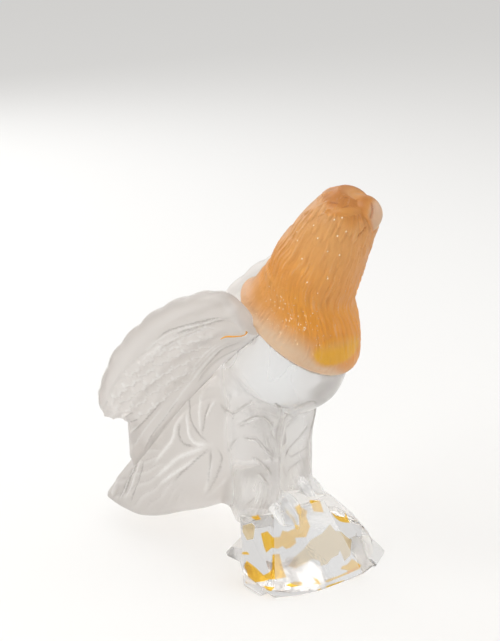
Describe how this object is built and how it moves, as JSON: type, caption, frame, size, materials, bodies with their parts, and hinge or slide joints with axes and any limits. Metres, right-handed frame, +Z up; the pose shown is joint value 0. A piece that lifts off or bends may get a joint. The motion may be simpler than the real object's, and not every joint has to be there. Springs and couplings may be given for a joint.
{
  "type": "crystal eagle sculpture",
  "caption": "Perched eagle with raised wings cast in clear crystal on a crystal rock, with an amber crystal neck and head.",
  "frame": {"origin": "middle of the rock's flat underside", "axes": "+Z up, -Y the way the eagle faces, +X to the eagle's left"},
  "size_m": [0.152, 0.2243, 0.298],
  "materials": {
    "clear_crystal": "clear cast crystal, satin on the feathers and polished on the flanks, thighs and rock",
    "amber_crystal": "translucent amber cast crystal, satin, with small bubbles"
  },
  "bodies": {
    "root": {"eagle_body": "clear_crystal", "eagle_neck": "amber_crystal"}
  },
  "joints": []
}
